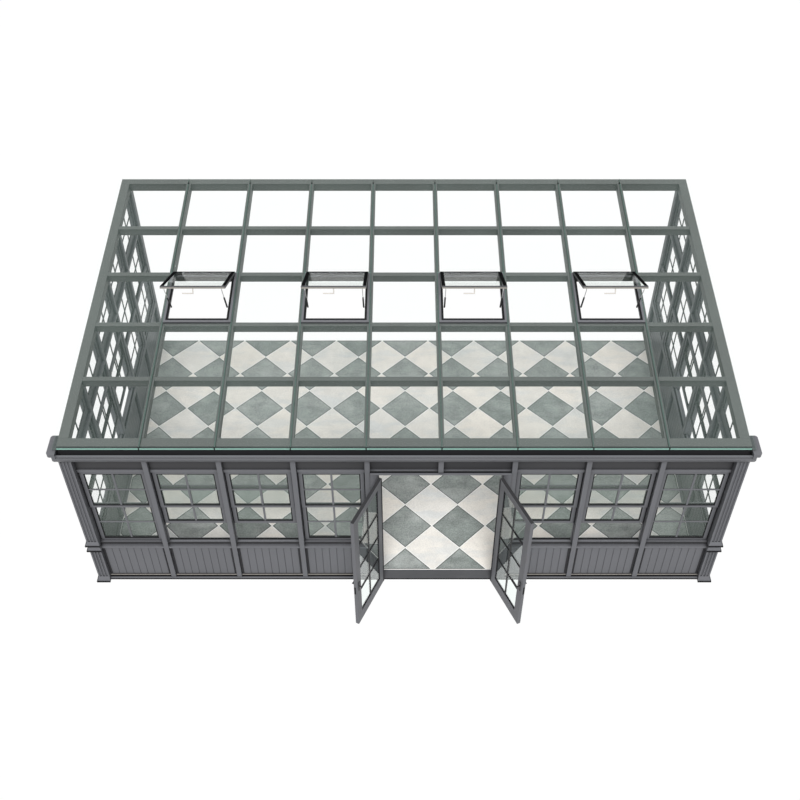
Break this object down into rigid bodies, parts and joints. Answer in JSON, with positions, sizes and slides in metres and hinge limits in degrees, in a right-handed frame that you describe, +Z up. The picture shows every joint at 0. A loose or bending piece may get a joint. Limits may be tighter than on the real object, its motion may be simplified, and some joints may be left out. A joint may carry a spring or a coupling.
{
  "type": "lean-to glass sunroom",
  "caption": "Lean-to glass sunroom with an aluminium frame, hung sash windows, kick panels, an open double door, a box gutter and opening roof vents.",
  "frame": {"origin": "ground level in the middle of the footprint, on the underside of the floor slab", "axes": "+X to the right along the front wall, the front faces -Y, +Z up"},
  "size_m": [7.92, 5.2678, 3.2284],
  "materials": {
    "painted_frame": "dark grey satin powder coat",
    "fascia": "darker grey satin powder coat",
    "vent_frame": "charcoal satin powder coat",
    "window_glass": "clear double glazing",
    "roof_glass": "faintly green double glazing",
    "floor": "honed stone tiles, green-grey and cream, laid as a diagonal checker",
    "hardware": "satin",
    "hinge": "dark grey satin"
  },
  "bodies": {
    "frame": {"floor_slab": "floor", "base_rails": "painted_frame", "door_threshold": "painted_frame", "corner_posts": "painted_frame", "rear_posts": "painted_frame", "front_mullions": "painted_frame", "side_mullions": "painted_frame", "kick_panels": "painted_frame", "window_sills": "painted_frame", "head_rails": "painted_frame", "fascia_panels": "fascia", "front_upper_sashes": "painted_frame", "front_lower_sashes": "painted_frame", "side_upper_sashes": "painted_frame", "side_lower_sashes": "painted_frame", "front_window_glass": "window_glass", "side_window_glass": "window_glass", "side_transom_frames": "painted_frame", "side_transom_glass": "window_glass", "door_jambs": "painted_frame", "door_stops": "painted_frame", "door_head": "painted_frame", "jamb_hinges": "hinge", "eave_beam": "painted_frame", "gutter": "painted_frame", "gutter_pan": "painted_frame", "gutter_end_caps": "painted_frame", "rafters": "painted_frame", "end_rafters": "painted_frame", "purlins": "painted_frame", "wall_plate": "painted_frame", "roof_glass": "roof_glass", "vent_curbs": "vent_frame", "vent_sashes": "vent_frame", "vent_glass": "roof_glass", "vent_stays": "hardware", "vent_handles": "hardware"},
    "left_door": {"left_leaf": "painted_frame", "left_leaf_glass": "window_glass", "left_leaf_handles": "hardware", "left_leaf_hinges": "hinge"},
    "right_door": {"right_leaf": "painted_frame", "right_leaf_glass": "window_glass", "right_leaf_handles": "hardware", "right_leaf_hinges": "hinge"}
  },
  "joints": [
    {"name": "left_door_hinge", "type": "hinge", "parent": "frame", "child": "left_door", "pos_m": [-0.3025, -2.308, 1.07], "axis": [0, 0, 1], "range_deg": [0, 115]},
    {"name": "right_door_hinge", "type": "hinge", "parent": "frame", "child": "right_door", "pos_m": [1.1425, -2.308, 1.07], "axis": [0, 0, -1], "range_deg": [0, 115]}
  ]
}
